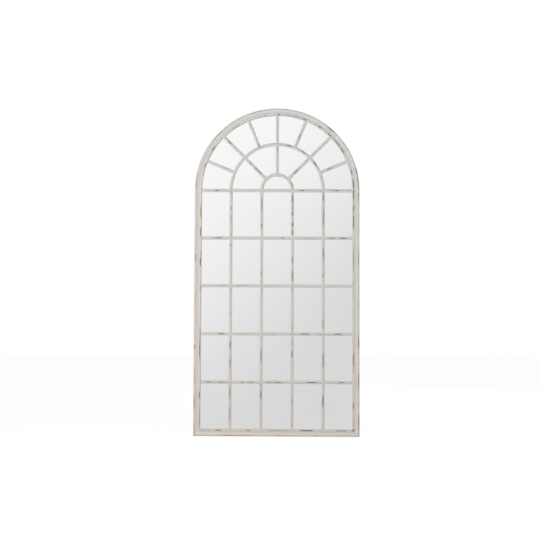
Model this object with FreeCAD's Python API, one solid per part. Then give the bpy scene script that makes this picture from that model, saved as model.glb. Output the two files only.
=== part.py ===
import FreeCAD, Part
import math
import os

# Arched window mirror: a moulded wooden frame with a half-round head, one sheet
# of mirror glass, and a grid and fan of wooden glazing bars laid on the glass.
# Millimetres. X to the right, Z up, the front faces -Y. The origin is the middle
# of the bottom edge, half way through the whole depth.

# ---- Frame, overall ----
WIDTH = 900.0               # over the frame
SPRING_HEIGHT = 1340.0      # bottom edge to the centre of the half-round head
ARCH_SEGMENTS = 3           # pieces of moulding in the head
FRAME_DEPTH = 28.0          # crest of the moulding to its back

# ---- Moulding section, from the outer edge inwards ----
OUTER_ROUND = 5.0           # quarter round on the outer edge
QUIRK = 1.0                 # small step up from the round to the crest
CREST_WIDTH = 5.0
CREST_FALL = 0.4
COVE_WIDTH = 19.0           # the hollow between the crest and the lip
COVE_FLOOR = 5.8            # depth of the hollow below the crest
LIP_DROP = 2.6              # the lip stands this much below the crest
LIP_FLAT = 2.0
LIP_ROUND = 6.0             # quarter round down towards the glass

# ---- Glass, pads and backing board ----
GLASS_DEPTH = 15.0          # crest of the moulding to the face of the glass
GLASS_THICK = 4.0
GLASS_LAP = 9.0             # rebate for the glass, from the sight edge outwards
PAD_THICK = 2.0
BOARD_THICK = 4.0
BOARD_LAP = 12.0            # rebate for the board, outside the glass rebate
SHEET_GAP = 1.0             # play round the edge of the glass and of the board

# ---- Glazing bars ----
COLUMNS = 5
ROWS = 5
SPRING_BAR_DROP = 3.0       # the spring bar lies this much under the arch centre
BAR_WIDTH = 17.0
BAR_HEIGHT = 9.0            # above the glass
BAR_SIDE = 3.5              # upright side of a bar, before it slopes to the crest
BAR_CREST_ROUND = 3.5
CREST_STEP = 0.3            # arches lie this much under the cross bars, fan bars twice
LAP_HEIGHT = 3.0            # what is left of the under bar at a crossing
FAN_STEP = 22.5             # degrees between the bars of the fan

# ---- Joints in the wood ----
TENON_WIDTH = 7.0
TENON_LENGTH = 5.0
TENON_LOW = 1.0             # under side of a tenon above the glass
TENON_THICK = 4.0
DOWEL_RADIUS = 3.0
DOWEL_LENGTH = 30.0
MITRE_DOWEL_LENGTH = 18.0
OUTER_DOWEL = (8.0, 17.0)   # inwards from the edge, and down from the crest
INNER_DOWEL = (20.0, 12.5)
MITRE_DOWELS = ((11.0, 17.0), (22.0, 11.5))

# ---- Foam pads between the glass and the board ----
PAD_WIDTH = 40.0
PAD_HEIGHT = 120.0

# ---- Countersunk screws ----
SCREW_RADIUS = 1.75
SCREW_HEAD_RADIUS = 3.5
SCREW_HEAD_HEIGHT = 1.9
SCREW_LENGTH = 14.0
SCREW_TIP = 2.5
SCREW_PLAY = 0.05
RECESS_LENGTH = 3.6
RECESS_WIDTH = 0.9
RECESS_DEPTH = 1.3
STILE_SCREWS = 6            # in each stile
RAIL_SCREWS = 4
ARCH_SCREWS = 7
SCREW_END_MARGIN = 100.0    # first and last screw of a stile from its ends

# ---- D-ring hangers on the back of the stiles ----
HANGER_DROP = 100.0         # pivot of the ring below the centre of the head
HANGER_INSET = 11.0         # middle of the strap from the outer edge
STRAP_WIDTH = 12.0
STRAP_LENGTH = 42.0
STRAP_SHEET = 1.2           # the strap is this sheet, folded double round the ring
STRAP_SCREWS = (25.0, 36.0)  # below the pivot
WIRE_RADIUS = 1.6
PIVOT_PLAY = 0.05
RING_SIDE_PLAY = 0.8        # between the ring and the edge of its strap
RING_LEG = 8.0              # pivot to the centre of the ring's round end
RING_CORNER = 2.4
RING_LEAN = 6.0             # degrees off upright where the ring lies on its strap

# ---- Rubber bumpers on the back ----
BUMPER_HEIGHT = 8.0
BUMPER_RADIUS = 6.0
BUMPER_TOP_RADIUS = 4.8
BUMPER_INSET = 8.5
BUMPER_LOW = 60.0           # lower pair above the bottom edge
BUMPER_ANGLE = 50.0         # upper pair, degrees up from the spring line

# ---- Worked out ----
FRONT = -(FRAME_DEPTH + BUMPER_HEIGHT) / 2
BACK = FRONT + FRAME_DEPTH
RADIUS = WIDTH / 2
COVE_START = OUTER_ROUND + QUIRK + CREST_WIDTH
LIP_START = COVE_START + COVE_WIDTH
LIP_CREST = LIP_START + LIP_FLAT
FACE = LIP_CREST + LIP_ROUND
GLASS_EDGE = FACE - GLASS_LAP
BOARD_EDGE = GLASS_EDGE - BOARD_LAP
PAD_DEPTH = GLASS_DEPTH + GLASS_THICK
BOARD_DEPTH = PAD_DEPTH + PAD_THICK
BOARD_BACK = BOARD_DEPTH + BOARD_THICK
BAR_INSET = FACE - BAR_WIDTH / 2
COLUMN_PITCH = (WIDTH - 2 * BAR_INSET) / COLUMNS
SPRING_BAR_Z = SPRING_HEIGHT - SPRING_BAR_DROP
ROW_PITCH = (SPRING_BAR_Z - BAR_INSET) / ROWS
UPRIGHT_X = [-RADIUS + BAR_INSET + k * COLUMN_PITCH for k in range(1, COLUMNS)]
CROSS_Z = [BAR_INSET + k * ROW_PITCH for k in range(1, ROWS)]
MIDDLE_RADIUS = UPRIGHT_X[-1]
INNER_RADIUS = MIDDLE_RADIUS - COLUMN_PITCH
HANGER_HEIGHT = SPRING_HEIGHT - HANGER_DROP
BARREL_OUTER = WIRE_RADIUS + PIVOT_PLAY + STRAP_SHEET
RING_HALF = STRAP_WIDTH / 2 + RING_SIDE_PLAY + WIRE_RADIUS
MARGIN = 1.0                # how far cutting shapes run past what they cut


def point(x, z, depth):
    """A point of the mirror; depth is measured back from the moulding's crest."""
    return FreeCAD.Vector(x, FRONT + depth, z)


def toward(angle):
    """Unit direction in the plane of the mirror, degrees up from +X."""
    return math.cos(math.radians(angle)), math.sin(math.radians(angle))


def from_centre(angle, radius):
    """Point (x, z) at a radius from the centre of the head."""
    along = toward(angle)
    return along[0] * radius, SPRING_HEIGHT + along[1] * radius


def moved(shape, x, y, z):
    """A copy of a shape, moved."""
    copy = shape.copy()
    copy.translate(FreeCAD.Vector(x, y, z))
    return copy


def prism(corners, near, far):
    """A solid with straight sides between two depths, from corners (x, z)."""
    loop = [point(x, z, near) for x, z in corners]
    face = Part.Face(Part.makePolygon(loop + loop[:1]))
    return face.extrude(FreeCAD.Vector(0, far - near, 0))


def strip(start, along, length, width, near, far):
    """A straight rectangular piece that lies in the plane of the mirror."""
    across = (-along[1] * width / 2, along[0] * width / 2)
    end = (start[0] + along[0] * length, start[1] + along[1] * length)
    corners = [
        (start[0] - across[0], start[1] - across[1]),
        (end[0] - across[0], end[1] - across[1]),
        (end[0] + across[0], end[1] + across[1]),
        (start[0] + across[0], start[1] + across[1]),
    ]
    return prism(corners, near, far)


def without(shape, others):
    """A shape less all the others that come near it."""
    for other in others:
        if shape.BoundBox.intersect(other.BoundBox):
            shape = shape.cut(other)
    return shape


# ---- Frame: two stiles, a bottom rail and the segments of the head ----

def moulding_face(place):
    """The moulding's section; place turns (inwards, depth) into a point."""
    slant = OUTER_ROUND * (1 - math.cos(math.radians(45)))
    bend = LIP_ROUND * (1 - math.cos(math.radians(45)))
    edge = (0, QUIRK + OUTER_ROUND)
    quirk = (OUTER_ROUND, QUIRK)
    crest = (OUTER_ROUND + QUIRK, 0)
    cove = (COVE_START, CREST_FALL)
    cove_floor = (COVE_START + COVE_WIDTH / 2, COVE_FLOOR)
    lip = (LIP_START, LIP_DROP)
    lip_crest = (LIP_CREST, LIP_DROP)
    sight = (FACE, LIP_DROP + LIP_ROUND)
    back = [
        sight,
        (FACE, GLASS_DEPTH),
        (GLASS_EDGE, GLASS_DEPTH),
        (GLASS_EDGE, BOARD_DEPTH),
        (BOARD_EDGE, BOARD_DEPTH),
        (BOARD_EDGE, FRAME_DEPTH),
        (0, FRAME_DEPTH),
        edge,
    ]
    edges = [
        Part.Arc(place(*edge), place(slant, QUIRK + slant), place(*quirk)).toShape(),
        Part.makeLine(place(*quirk), place(*crest)),
        Part.makeLine(place(*crest), place(*cove)),
        Part.Arc(place(*cove), place(*cove_floor), place(*lip)).toShape(),
        Part.makeLine(place(*lip), place(*lip_crest)),
        Part.Arc(place(*lip_crest), place(FACE - bend, LIP_DROP + bend), place(*sight)).toShape(),
    ]
    edges += [Part.makeLine(place(*a), place(*b)) for a, b in zip(back, back[1:])]
    return Part.Face(Part.Wire(edges))


def stile(side):
    """Upright moulding, mitred at its foot; side is -1 on the left, 1 on the right."""
    face = moulding_face(lambda w, depth: point(side * (RADIUS - w), 0, depth))
    solid = face.extrude(FreeCAD.Vector(0, 0, SPRING_HEIGHT))
    reach = FACE + MARGIN
    under_mitre = [(side * RADIUS, 0), (side * (RADIUS - reach), reach), (side * (RADIUS - reach), -MARGIN),
                   (side * RADIUS, -MARGIN)]
    return solid.cut(prism(under_mitre, -MARGIN, FRAME_DEPTH + MARGIN))


def rail():
    """Bottom moulding, mitred at both ends."""
    face = moulding_face(lambda w, depth: point(-RADIUS, w, depth))
    solid = face.extrude(FreeCAD.Vector(WIDTH, 0, 0))
    reach = FACE + MARGIN
    for side in (-1, 1):
        over_mitre = [(side * RADIUS, 0), (side * (RADIUS - reach), reach),
                      (side * (RADIUS + MARGIN), reach), (side * (RADIUS + MARGIN), 0)]
        solid = solid.cut(prism(over_mitre, -MARGIN, FRAME_DEPTH + MARGIN))
    return solid


def arch_segment(start, sweep):
    """Curved moulding of the head, from an angle and through another."""
    face = moulding_face(lambda w, depth: point(*from_centre(start, RADIUS - w), depth))
    return face.revolve(point(0, SPRING_HEIGHT, 0), FreeCAD.Vector(0, -1, 0), sweep)


def dowel(middle, along, depth, length):
    """A round wooden pin across a joint."""
    start = point(middle[0] - along[0] * length / 2, middle[1] - along[1] * length / 2, depth)
    return Part.makeCylinder(DOWEL_RADIUS, length, start, FreeCAD.Vector(along[0], 0, along[1]))


def frame_dowels():
    """Two dowels across each mitre and each square joint of the head."""
    pins = []
    for side in (-1, 1):
        for inset, depth in MITRE_DOWELS:
            along = toward(45 if side > 0 else 135)
            across_mitre = (along[0], -along[1])
            pins.append(dowel((side * (RADIUS - inset), inset), across_mitre, depth, MITRE_DOWEL_LENGTH))
    for joint in range(ARCH_SEGMENTS + 1):
        angle = joint * 180 / ARCH_SEGMENTS
        for inset, depth in (OUTER_DOWEL, INNER_DOWEL):
            along = toward(angle + 90)
            pins.append(dowel(from_centre(angle, RADIUS - inset), along, depth, DOWEL_LENGTH))
    return pins


# ---- Glazing bars: one section, straight or bent to a ring ----

def bar_face(place, crest):
    """The bar's section; place turns (sideways, height over the glass) into a point."""
    half = BAR_WIDTH / 2
    middle = crest - BAR_CREST_ROUND
    rise = middle - BAR_SIDE
    reach = math.hypot(half, rise)
    slope = math.atan2(rise, -half) - math.asin(BAR_CREST_ROUND / reach)
    run = math.sqrt(reach ** 2 - BAR_CREST_ROUND ** 2)
    shoulder = (half + run * math.cos(slope), BAR_SIDE + run * math.sin(slope))
    left = (-shoulder[0], shoulder[1])
    outline = [left, (-half, BAR_SIDE), (-half, 0), (half, 0), (half, BAR_SIDE), shoulder]
    edges = [Part.makeLine(place(*a), place(*b)) for a, b in zip(outline, outline[1:])]
    edges.append(Part.Arc(place(*shoulder), place(0, crest), place(*left)).toShape())
    return Part.Face(Part.Wire(edges))


def straight_bar(start, end, crest):
    """A bar on the glass from one point (x, z) to another."""
    length = math.dist(start, end)
    along = ((end[0] - start[0]) / length, (end[1] - start[1]) / length)

    def place(u, height):
        return point(start[0] - along[1] * u, start[1] + along[0] * u, GLASS_DEPTH - height)

    return bar_face(place, crest).extrude(FreeCAD.Vector(along[0] * length, 0, along[1] * length))


def ring_bar(radius, crest):
    """A half-ring of bar, with short straight feet down to the spring bar."""
    face = bar_face(lambda u, height: point(radius + u, SPRING_HEIGHT, GLASS_DEPTH - height), crest)
    ring = face.revolve(point(0, SPRING_HEIGHT, 0), FreeCAD.Vector(0, -1, 0), 180)
    for side in (-1, 1):
        foot = straight_bar((side * radius, SPRING_BAR_Z), (side * radius, SPRING_HEIGHT), crest)
        ring = ring.fuse(foot)
    return ring.removeSplitter()


def tenon(shoulder, along):
    """Stub tenon of a bar, rooted just behind its shoulder, into the piece it meets."""
    root = (shoulder[0] - along[0] * MARGIN, shoulder[1] - along[1] * MARGIN)
    near = GLASS_DEPTH - TENON_LOW - TENON_THICK
    return strip(root, along, MARGIN + TENON_LENGTH, TENON_WIDTH, near, GLASS_DEPTH - TENON_LOW)


def lap_notch(middle, along):
    """What is cut from under a bar where another passes beneath it."""
    start = (middle[0] - along[0] * BAR_WIDTH, middle[1] - along[1] * BAR_WIDTH)
    near = GLASS_DEPTH - LAP_HEIGHT
    return strip(start, along, 2 * BAR_WIDTH, BAR_WIDTH, near, GLASS_DEPTH + MARGIN)


# ---- Fasteners and fittings ----

def turned(profile):
    """A solid turned about the Y axis from (radius, y) corners."""
    loop = [FreeCAD.Vector(radius, y, 0) for radius, y in profile]
    face = Part.Face(Part.makePolygon(loop + loop[:1]))
    return face.revolve(FreeCAD.Vector(0, 0, 0), FreeCAD.Vector(0, 1, 0), 360)


def screw(play):
    """Countersunk screw that points to the front; with play it is its hole."""
    shank = SCREW_RADIUS + play
    head = SCREW_HEAD_RADIUS + play
    body = turned([
        (0, 0),
        (head, 0),
        (shank, -SCREW_HEAD_HEIGHT),
        (shank, SCREW_TIP - SCREW_LENGTH),
        (0, -SCREW_LENGTH - play),
    ])
    if play:
        return body
    for length, width in ((RECESS_LENGTH, RECESS_WIDTH), (RECESS_WIDTH, RECESS_LENGTH)):
        corner = FreeCAD.Vector(-length / 2, -RECESS_DEPTH, -width / 2)
        body = body.cut(Part.makeBox(length, RECESS_DEPTH + MARGIN, width, corner))
    return body


def board_screw_places():
    """Places (x, z) of the screws round the backing board."""
    inset = (GLASS_EDGE + BOARD_EDGE) / 2
    side = RADIUS - inset
    rise = (SPRING_HEIGHT - 2 * SCREW_END_MARGIN) / (STILE_SCREWS - 1)
    places = []
    for k in range(STILE_SCREWS):
        height = SCREW_END_MARGIN + k * rise
        places += [(-side, height), (side, height)]
    gap = 2 * side / (RAIL_SCREWS + 1)
    places += [(-side + (k + 1) * gap, inset) for k in range(RAIL_SCREWS)]
    turn = 180 / ARCH_SCREWS
    places += [from_centre((k + 0.5) * turn, side) for k in range(ARCH_SCREWS)]
    return places


def sheet(edge, near, far):
    """A flat sheet of the mirror's outline, its edge this far inside the frame's."""
    side = RADIUS - edge
    middle = point(0, SPRING_HEIGHT + side, near)
    corners = [point(side, SPRING_HEIGHT, near), point(side, edge, near),
               point(-side, edge, near), point(-side, SPRING_HEIGHT, near)]
    edges = [Part.makeLine(a, b) for a, b in zip(corners, corners[1:])]
    edges.append(Part.Arc(corners[-1], middle, corners[0]).toShape())
    return Part.Face(Part.Wire(edges)).extrude(FreeCAD.Vector(0, far - near, 0))


def foam_pads():
    """Pads stuck to the board, behind the glass, one pair to each row and the head."""
    near = PAD_DEPTH
    pads = []
    for k in range(ROWS + 1):
        middle = BAR_INSET + (k + 0.5) * ROW_PITCH
        for x in (-COLUMN_PITCH, COLUMN_PITCH):
            start = (x, middle - PAD_HEIGHT / 2)
            pads.append(strip(start, (0, 1), PAD_HEIGHT, PAD_WIDTH, near, near + PAD_THICK))
    return pads


def hanger_strap():
    """Steel strap folded double round the ring's bar; its pivot is at the origin."""
    end = STRAP_WIDTH / 2 - STRAP_LENGTH
    half = STRAP_WIDTH / 2
    thick = 2 * STRAP_SHEET
    plate = Part.makeBox(STRAP_WIDTH, thick, -end, FreeCAD.Vector(-half, -BARREL_OUTER, end))
    tip = Part.makeCylinder(half, thick, FreeCAD.Vector(0, -BARREL_OUTER, end), FreeCAD.Vector(0, 1, 0))
    left = FreeCAD.Vector(-half, 0, 0)
    barrel = Part.makeCylinder(BARREL_OUTER, STRAP_WIDTH, left, FreeCAD.Vector(1, 0, 0))
    bore = Part.makeCylinder(WIRE_RADIUS + PIVOT_PLAY, STRAP_WIDTH, left, FreeCAD.Vector(1, 0, 0))
    strap = plate.fuse([tip, barrel]).cut(bore)
    for drop in STRAP_SCREWS:
        strap = strap.cut(moved(screw(SCREW_PLAY), 0, thick - BARREL_OUTER, -drop))
    return strap.removeSplitter()


def hanger_ring():
    """Wire D-ring that hangs down over its strap; its pivot is at the origin."""
    flat = RING_HALF - RING_CORNER
    side = FreeCAD.Vector(1, 0, 0)
    down = FreeCAD.Vector(0, 0, -1)
    axis = FreeCAD.Vector(0, 1, 0)
    ring = Part.makeCylinder(WIRE_RADIUS, 2 * flat, FreeCAD.Vector(-flat, 0, 0), side)
    for sign in (-1, 1):
        start = Part.makeCircle(WIRE_RADIUS, FreeCAD.Vector(sign * flat, 0, 0), side)
        bend = Part.Face(Part.Wire(start))
        centre = FreeCAD.Vector(sign * flat, 0, -RING_CORNER)
        ring = ring.fuse(bend.revolve(centre, axis, sign * 90))
        top = FreeCAD.Vector(sign * RING_HALF, 0, -RING_CORNER)
        ring = ring.fuse(Part.makeCylinder(WIRE_RADIUS, RING_LEG - RING_CORNER, top, down))
    start = Part.makeCircle(WIRE_RADIUS, FreeCAD.Vector(RING_HALF, 0, -RING_LEG), down)
    end = Part.Face(Part.Wire(start))
    ring = ring.fuse(end.revolve(FreeCAD.Vector(0, 0, -RING_LEG), axis, 180))
    ring = ring.removeSplitter()
    ring.rotate(FreeCAD.Vector(0, 0, 0), side, RING_LEAN)
    return ring


def bumper():
    """Self-adhesive rubber bumper on the back."""
    return turned([(0, 0), (BUMPER_RADIUS, 0), (BUMPER_TOP_RADIUS, BUMPER_HEIGHT), (0, BUMPER_HEIGHT)])


# ---- Put it together ----
pieces = {}

# Bars as they run before they are jointed, and the tenons at their ends.
end_x = RADIUS - LIP_CREST
sight_x = RADIUS - FACE
arch_crest = BAR_HEIGHT - CREST_STEP
fan_crest = BAR_HEIGHT - 2 * CREST_STEP
half_bar = BAR_WIDTH / 2
frame_tenons = []
spring_tenons = []

cross_bars = []
for height in CROSS_Z + [SPRING_BAR_Z]:
    cross_bars.append(straight_bar((-end_x, height), (end_x, height), BAR_HEIGHT))
    frame_tenons += [tenon((side * sight_x, height), (side, 0)) for side in (-1, 1)]

uprights = []
for x in UPRIGHT_X:
    uprights.append(straight_bar((x, LIP_CREST), (x, SPRING_BAR_Z), fan_crest))
    frame_tenons.append(tenon((x, FACE), (0, -1)))
    spring_tenons.append(tenon((x, SPRING_BAR_Z - half_bar), (0, 1)))

rings = {}
ring_tenons = {}
for radius in (MIDDLE_RADIUS, INNER_RADIUS):
    rings[radius] = ring_bar(radius, arch_crest)
    ring_tenons[radius] = []
    spring_tenons += [tenon((side * radius, SPRING_BAR_Z + half_bar), (0, -1)) for side in (-1, 1)]

fan_bars = {}
for k in range(1, round(180 / FAN_STEP)):
    angle = k * FAN_STEP
    start = MIDDLE_RADIUS if k % 2 else INNER_RADIUS
    kind = "short" if k % 2 else "long"
    bar = straight_bar(from_centre(angle, start), from_centre(angle, end_x), fan_crest)
    fan_bars[f"{kind}_fan_bar_{(k + 1) // 2}"] = bar
    ring_tenons[start].append(tenon(from_centre(angle, start + half_bar), toward(angle + 180)))
    frame_tenons.append(tenon(from_centre(angle, sight_x), toward(angle)))
    if kind == "long":
        ring_tenons[MIDDLE_RADIUS].append(lap_notch(from_centre(angle, MIDDLE_RADIUS), toward(angle)))

# Fasteners, and the holes they need.
dowels = frame_dowels()
board_places = board_screw_places()
board_y = FRONT + BOARD_BACK
board_screws = [moved(screw(0), x, board_y, z) for x, z in board_places]
holes = [moved(screw(SCREW_PLAY), x, board_y, z) for x, z in board_places]
hanger_x = RADIUS - HANGER_INSET
strap_y = BACK + 2 * STRAP_SHEET
strap_places = [(side * hanger_x, HANGER_HEIGHT - drop) for side in (-1, 1) for drop in STRAP_SCREWS]
hanger_screws = [moved(screw(0), x, strap_y, z) for x, z in strap_places]
holes += [moved(screw(SCREW_PLAY), x, strap_y, z) for x, z in strap_places]

# The frame, mortised for the bars and drilled for dowels and screws.
frame = {"left_stile": stile(-1), "right_stile": stile(1), "bottom_rail": rail()}
sweep = 180 / ARCH_SEGMENTS
for k in range(ARCH_SEGMENTS):
    frame[f"arch_segment_{k + 1}"] = arch_segment(k * sweep, sweep)
for name, solid in frame.items():
    pieces[name] = without(solid, frame_tenons + dowels + holes)
frame_pieces = list(pieces.values())
pieces["frame_dowels"] = Part.makeCompound(dowels)

# Cross bars run through; the uprights pass under them and tenon into the spring bar.
over_bars = []
for bar, height in zip(cross_bars, CROSS_Z):
    laps = [lap_notch((x, height), (0, 1)) for x in UPRIGHT_X]
    over_bars.append(without(bar, laps + frame_pieces))
    pieces[f"cross_bar_{len(over_bars)}"] = over_bars[-1]
spring_bar = without(cross_bars[-1], spring_tenons + frame_pieces)
pieces["spring_bar"] = spring_bar
for k, bar in enumerate(uprights):
    pieces[f"upright_bar_{k + 1}"] = without(bar, over_bars + [spring_bar] + frame_pieces)

# The two rings stand on the spring bar, and the fan bars reach out from them.
for name, radius in (("middle_arch", MIDDLE_RADIUS), ("inner_arch", INNER_RADIUS)):
    rings[radius] = without(rings[radius], ring_tenons[radius] + [spring_bar])
    pieces[name] = rings[radius]
for name, bar in fan_bars.items():
    pieces[name] = without(bar, list(rings.values()) + frame_pieces)

# Glass, pads and board, laid in from the back.
pieces["mirror_glass"] = sheet(GLASS_EDGE + SHEET_GAP, GLASS_DEPTH, PAD_DEPTH)
pieces["foam_pads"] = Part.makeCompound(foam_pads())
board = sheet(BOARD_EDGE + SHEET_GAP, BOARD_DEPTH, BOARD_BACK)
pieces["backing_board"] = without(board, holes)
pieces["board_screws"] = Part.makeCompound(board_screws)

# Hangers, with their rings hanging down, and bumpers.
pivot_y = BACK + BARREL_OUTER
for name, side in (("left", -1), ("right", 1)):
    pieces[f"{name}_hanger_strap"] = moved(hanger_strap(), side * hanger_x, pivot_y, HANGER_HEIGHT)
    pieces[f"{name}_hanger_ring"] = moved(hanger_ring(), side * hanger_x, pivot_y, HANGER_HEIGHT)
pieces["hanger_screws"] = Part.makeCompound(hanger_screws)
bumper_x = RADIUS - BUMPER_INSET
bumper_places = [(side * bumper_x, BUMPER_LOW) for side in (-1, 1)]
bumper_places += [from_centre(angle, bumper_x) for angle in (BUMPER_ANGLE, 180 - BUMPER_ANGLE)]
pieces["wall_bumpers"] = Part.makeCompound([moved(bumper(), x, BACK, z) for x, z in bumper_places])

os.makedirs("parts", exist_ok=True)
for name, shape in pieces.items():
    shape.exportStep(f"parts/{name}.step")
    print(f"{name}: {len(shape.Solids)} solid(s), {shape.Volume:.1f} mm3, valid {shape.isValid()}")
print(f"panes {COLUMN_PITCH - BAR_WIDTH:.1f} x {ROW_PITCH - BAR_WIDTH:.1f} mm")
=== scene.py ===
import math
import random

import bmesh
import bpy
import numpy as np
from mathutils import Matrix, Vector


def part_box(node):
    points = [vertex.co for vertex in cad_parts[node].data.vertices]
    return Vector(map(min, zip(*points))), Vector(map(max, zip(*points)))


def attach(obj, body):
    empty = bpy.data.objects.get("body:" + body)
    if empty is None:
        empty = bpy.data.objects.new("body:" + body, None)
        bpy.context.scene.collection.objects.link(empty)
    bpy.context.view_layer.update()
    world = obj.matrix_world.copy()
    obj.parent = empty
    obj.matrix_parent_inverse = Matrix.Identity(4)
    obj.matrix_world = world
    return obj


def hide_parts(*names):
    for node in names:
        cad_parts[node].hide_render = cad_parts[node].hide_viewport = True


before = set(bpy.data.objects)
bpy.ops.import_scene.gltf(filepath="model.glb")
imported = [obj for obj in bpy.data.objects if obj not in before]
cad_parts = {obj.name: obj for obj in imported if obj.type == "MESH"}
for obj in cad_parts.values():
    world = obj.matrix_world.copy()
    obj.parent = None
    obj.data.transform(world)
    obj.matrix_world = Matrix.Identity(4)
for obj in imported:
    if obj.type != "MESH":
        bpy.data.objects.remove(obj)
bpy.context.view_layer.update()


# ---- Frame moulding ----
# Six lengths of wooden moulding: two stiles, a bottom rail mitred to them, and three curved
# segments of the half-round head. Each is run to one section, painted off-white and then
# rubbed through to the undercoat and the dark wood along its arrises.

MM = 0.001
STILE_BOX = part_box("left_stile")
RAIL_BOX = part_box("bottom_rail")
HALF_WIDTH = -STILE_BOX[0].x
SPRING_HEIGHT = STILE_BOX[1].z
FRONT_Y = STILE_BOX[0].y
FRAME_DEPTH = STILE_BOX[1].y - FRONT_Y
FACE_WIDTH = RAIL_BOX[1].z
GLASS_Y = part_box("mirror_glass")[0].y
BOARD_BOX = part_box("backing_board")
GLASS_REBATE = 9 * MM         # from the sight edge out to the edge of the glass rebate
BOARD_CLEARANCE = 1 * MM      # round the board in its rebate
BOARD_REBATE = FACE_WIDTH - GLASS_REBATE - (BOARD_BOX[0].z - BOARD_CLEARANCE)
OUTER_ROUND = 5 * MM
QUIRK = 1 * MM                # small step between the round and the crest
CREST_LINE = [(5.35, 0.55), (5.75, 0.16), (6.4, 0.02), (8.5, 0.14), (10.4, 0.3)]  # mm in, mm deep
CREST_END = 11 * MM           # this and the next are measured inwards from the outer edge
COVE_END = 30 * MM
COVE_START_DROP = 0.4 * MM    # this and the next two are measured back from the front
COVE_FLOOR = 5.8 * MM
LIP_DROP = 2.6 * MM
LIP_ROUND = 6 * MM
COVE_PARTS = 14
SIDE_PARTS = 6
BACK_SOFT = 0.7 * MM          # the back's arrises are eased by this much
ARCH_STEP = math.radians(1.0)
PATH_STEP = 4 * MM
RUB_DEPTH = 0.35 * MM
DENT_DEPTH = 0.12 * MM
DENT_LENGTH = 45 * MM
EDGE_LINE = 5.6 * MM          # the two lines along which the frame is rubbed through
LIP_LINE = 32.5 * MM
EDGE_RUB_HALF = 4.0 * MM      # half the width of what is rubbed along each
LIP_RUB_HALF = 3.6 * MM
EDGE_WEAR = 0.22              # the least wear all along each
LIP_WEAR = 0.10
SHARP_ANGLE = math.radians(32)


class Wire:
    """A node's output; arithmetic on it adds Math nodes."""

    def __init__(self, tree, socket):
        self.tree = tree
        self.socket = socket

    def math(self, operation, *others):
        return self.tree.node("ShaderNodeMath", {"operation": operation}, dict(enumerate((self, *others))))

    def __add__(self, other):
        return self.math("ADD", other)

    def __sub__(self, other):
        return self.math("SUBTRACT", other)

    def __mul__(self, other):
        return self.math("MULTIPLY", other)

    def __truediv__(self, other):
        return self.math("DIVIDE", other)

    def __rsub__(self, other):
        return self.tree.node("ShaderNodeMath", {"operation": "SUBTRACT"}, {0: other, 1: self})

    def __rtruediv__(self, other):
        return self.tree.node("ShaderNodeMath", {"operation": "DIVIDE"}, {0: other, 1: self})

    __radd__ = __add__
    __rmul__ = __mul__

    def or_more(self, other):
        """The larger of the two."""
        return self.math("MAXIMUM", other)

    def between(self, low, high):
        """0 below low, 1 above high, and a smooth step in between."""
        sockets = {"Value": self, "From Min": low, "From Max": high}
        return self.tree.node("ShaderNodeMapRange", {"interpolation_type": "SMOOTHSTEP"}, sockets)

    def of(self, name):
        """Another output of the same node."""
        return Wire(self.tree, self.socket.node.outputs[name])


class Tree:
    """Adds nodes to a material's, a world's or a geometry node tree."""

    def __init__(self, nodes):
        self.nodes = nodes

    def node(self, kind, settings=None, sockets=None, out=0):
        """A node with its settings, and the values or wires of its inputs; gives its output."""
        made = self.nodes.nodes.new(kind)
        for name, value in (settings or {}).items():
            setattr(made, name, value)
        for name, value in (sockets or {}).items():
            if isinstance(value, Wire):
                self.nodes.links.new(value.socket, made.inputs[name])
            else:
                made.inputs[name].default_value = value
        return Wire(self, made.outputs[out]) if len(made.outputs) else made

    def place(self):
        """Where a point lies in the object's own frame, in metres."""
        return self.node("ShaderNodeTexCoord", None, None, "Object")

    def attribute(self, name):
        return self.node("ShaderNodeAttribute", {"attribute_name": name}, out="Fac")

    def combine(self, x, y, z):
        return self.node("ShaderNodeCombineXYZ", None, {0: x, 1: y, 2: z})

    def noise(self, vector, scale, detail=3.0, roughness=0.5):
        sockets = {"Vector": vector, "Scale": scale, "Detail": detail, "Roughness": roughness}
        return self.node("ShaderNodeTexNoise", None, sockets)

    def blend(self, share, first, second):
        """Two colours mixed; share, kept between 0 and 1, is how much of the second."""
        colours = [c if isinstance(c, Wire) else (*c, 1) for c in (first, second)]
        sockets = {0: share, 6: colours[0], 7: colours[1]}
        return self.node("ShaderNodeMix", {"data_type": "RGBA"}, sockets, out=2)


def material(name):
    """A new material and its empty node tree."""
    made = bpy.data.materials.new(name)
    made.use_nodes = True
    made.node_tree.nodes.clear()
    return made, Tree(made.node_tree)


def surface(tree, **values):
    """The material's Principled shader, joined to its output."""
    named = {key.replace("_", " ").title().replace("Ior", "IOR"): value for key, value in values.items()}
    shader = tree.node("ShaderNodeBsdfPrincipled", None, named)
    tree.node("ShaderNodeOutputMaterial", None, {"Surface": shader})


def bump(tree, height, distance, strength=1.0):
    """A normal from a height; distance, in metres, is how far a height of 1 stands out."""
    sockets = {"Height": height, "Distance": distance, "Strength": strength}
    return tree.node("ShaderNodeBump", None, sockets)


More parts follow.
